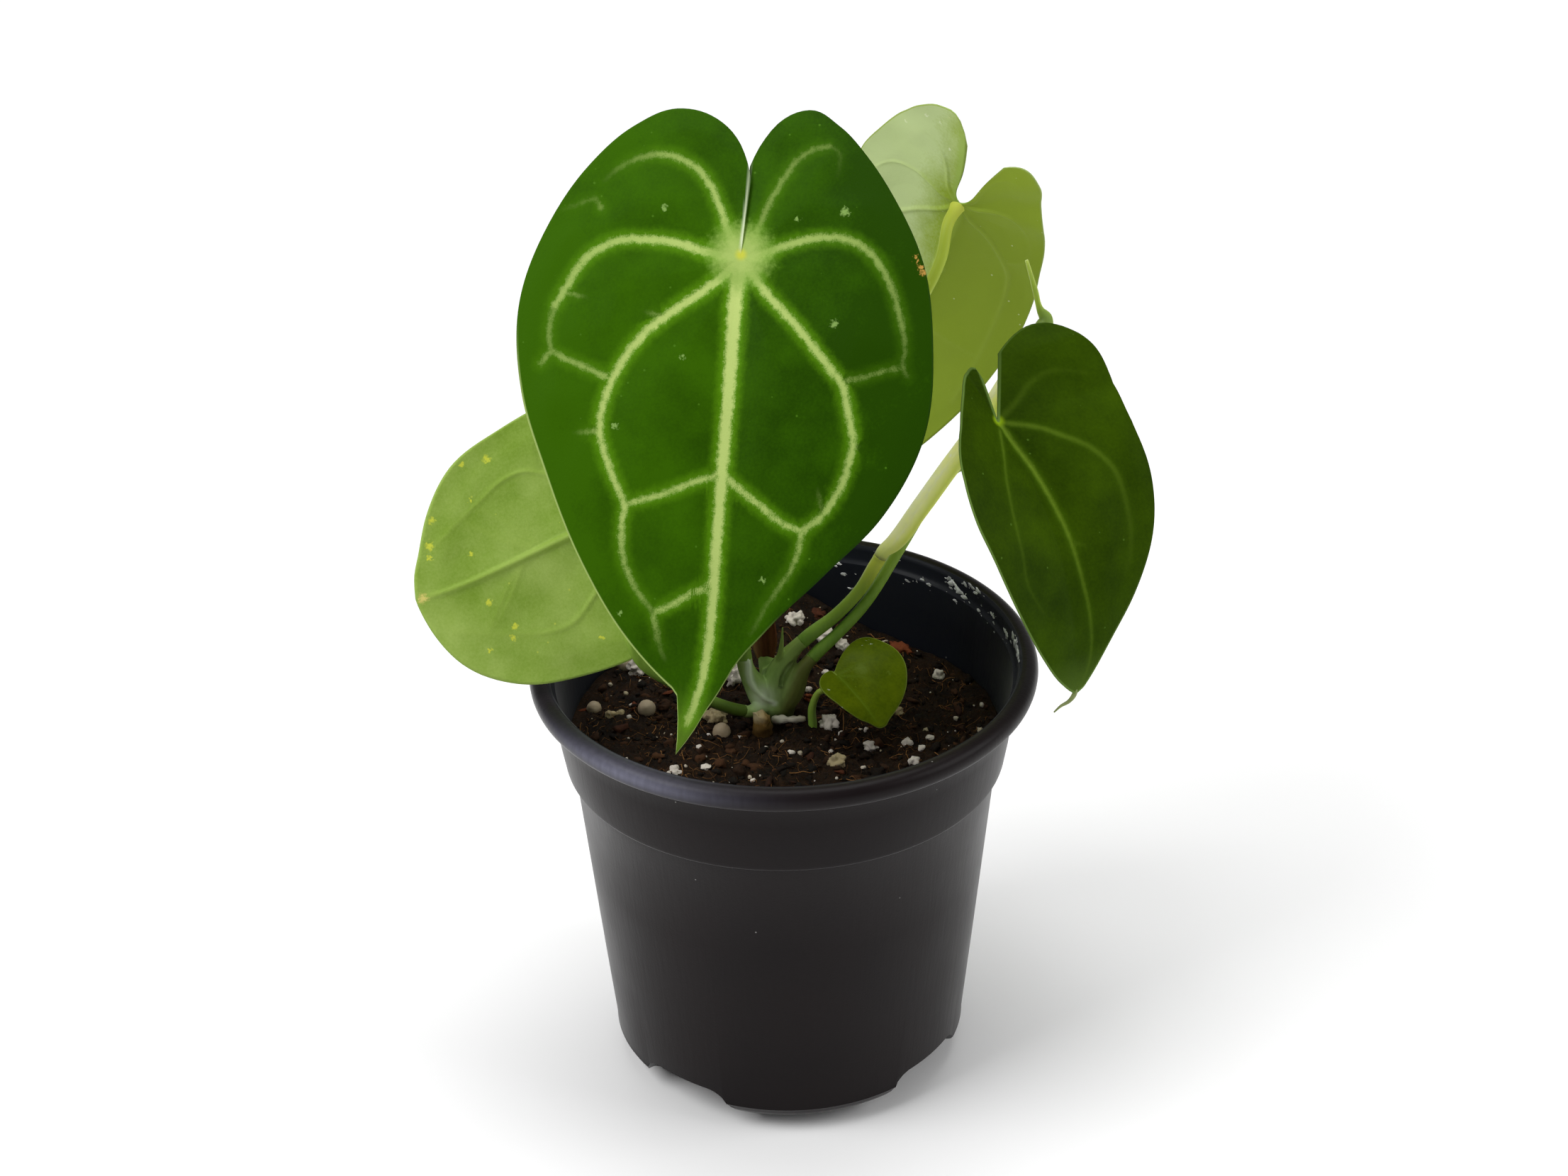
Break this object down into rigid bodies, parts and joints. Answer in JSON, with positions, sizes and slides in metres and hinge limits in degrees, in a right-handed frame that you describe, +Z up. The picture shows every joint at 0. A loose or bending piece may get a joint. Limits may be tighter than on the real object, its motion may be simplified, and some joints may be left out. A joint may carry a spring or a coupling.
{
  "type": "potted plant",
  "caption": "Young velvet-leaf anthurium with heart-shaped pale-veined leaves, a rolled new leaf and a small leaf at its base, growing in soil in a round black nursery pot.",
  "frame": {"origin": "middle of the flat floor of the pot's base, on the surface that the pot stands on", "axes": "+Z up, the large front leaf faces -Y, the dark hanging leaf is on the +X side"},
  "size_m": [0.1557, 0.1353, 0.2147],
  "materials": {
    "pot_black_plastic": "satin moulded plastic",
    "soil_dark_brown": "moist fibrous potting mix",
    "crown_grey_green": "smooth plant skin",
    "leaf_dark_velvet": "velvety leaf with pale veins",
    "leaf_deep_olive": "satin leaf with thin pale veins",
    "leaf_pale_underside": "matt pale underside of a leaf",
    "leaf_olive_underside": "matt olive underside of a leaf",
    "leaf_young": "smooth young leaf",
    "leaf_new_yellow": "waxy rolled new leaf",
    "stalk_green": "smooth leaf stalk",
    "scale_brown": "dry brown plant tissue",
    "twig_pale": "bare weathered twig"
  },
  "bodies": {
    "root": {"pot": "pot_black_plastic", "soil": "soil_dark_brown", "crown": "crown_grey_green", "blade_front": "leaf_dark_velvet", "blade_right": "leaf_deep_olive", "blade_left": "leaf_pale_underside", "blade_back": "leaf_olive_underside", "blade_small": "leaf_young", "new_leaf": "leaf_new_yellow", "petiole_front": "stalk_green", "petiole_back": "stalk_green", "petiole_left": "stalk_green", "petiole_right": "stalk_green", "petiole_small": "stalk_green", "petiole_new": "stalk_green", "cataphyll_brown": "scale_brown", "old_stub": "scale_brown", "stick": "twig_pale"}
  },
  "joints": []
}
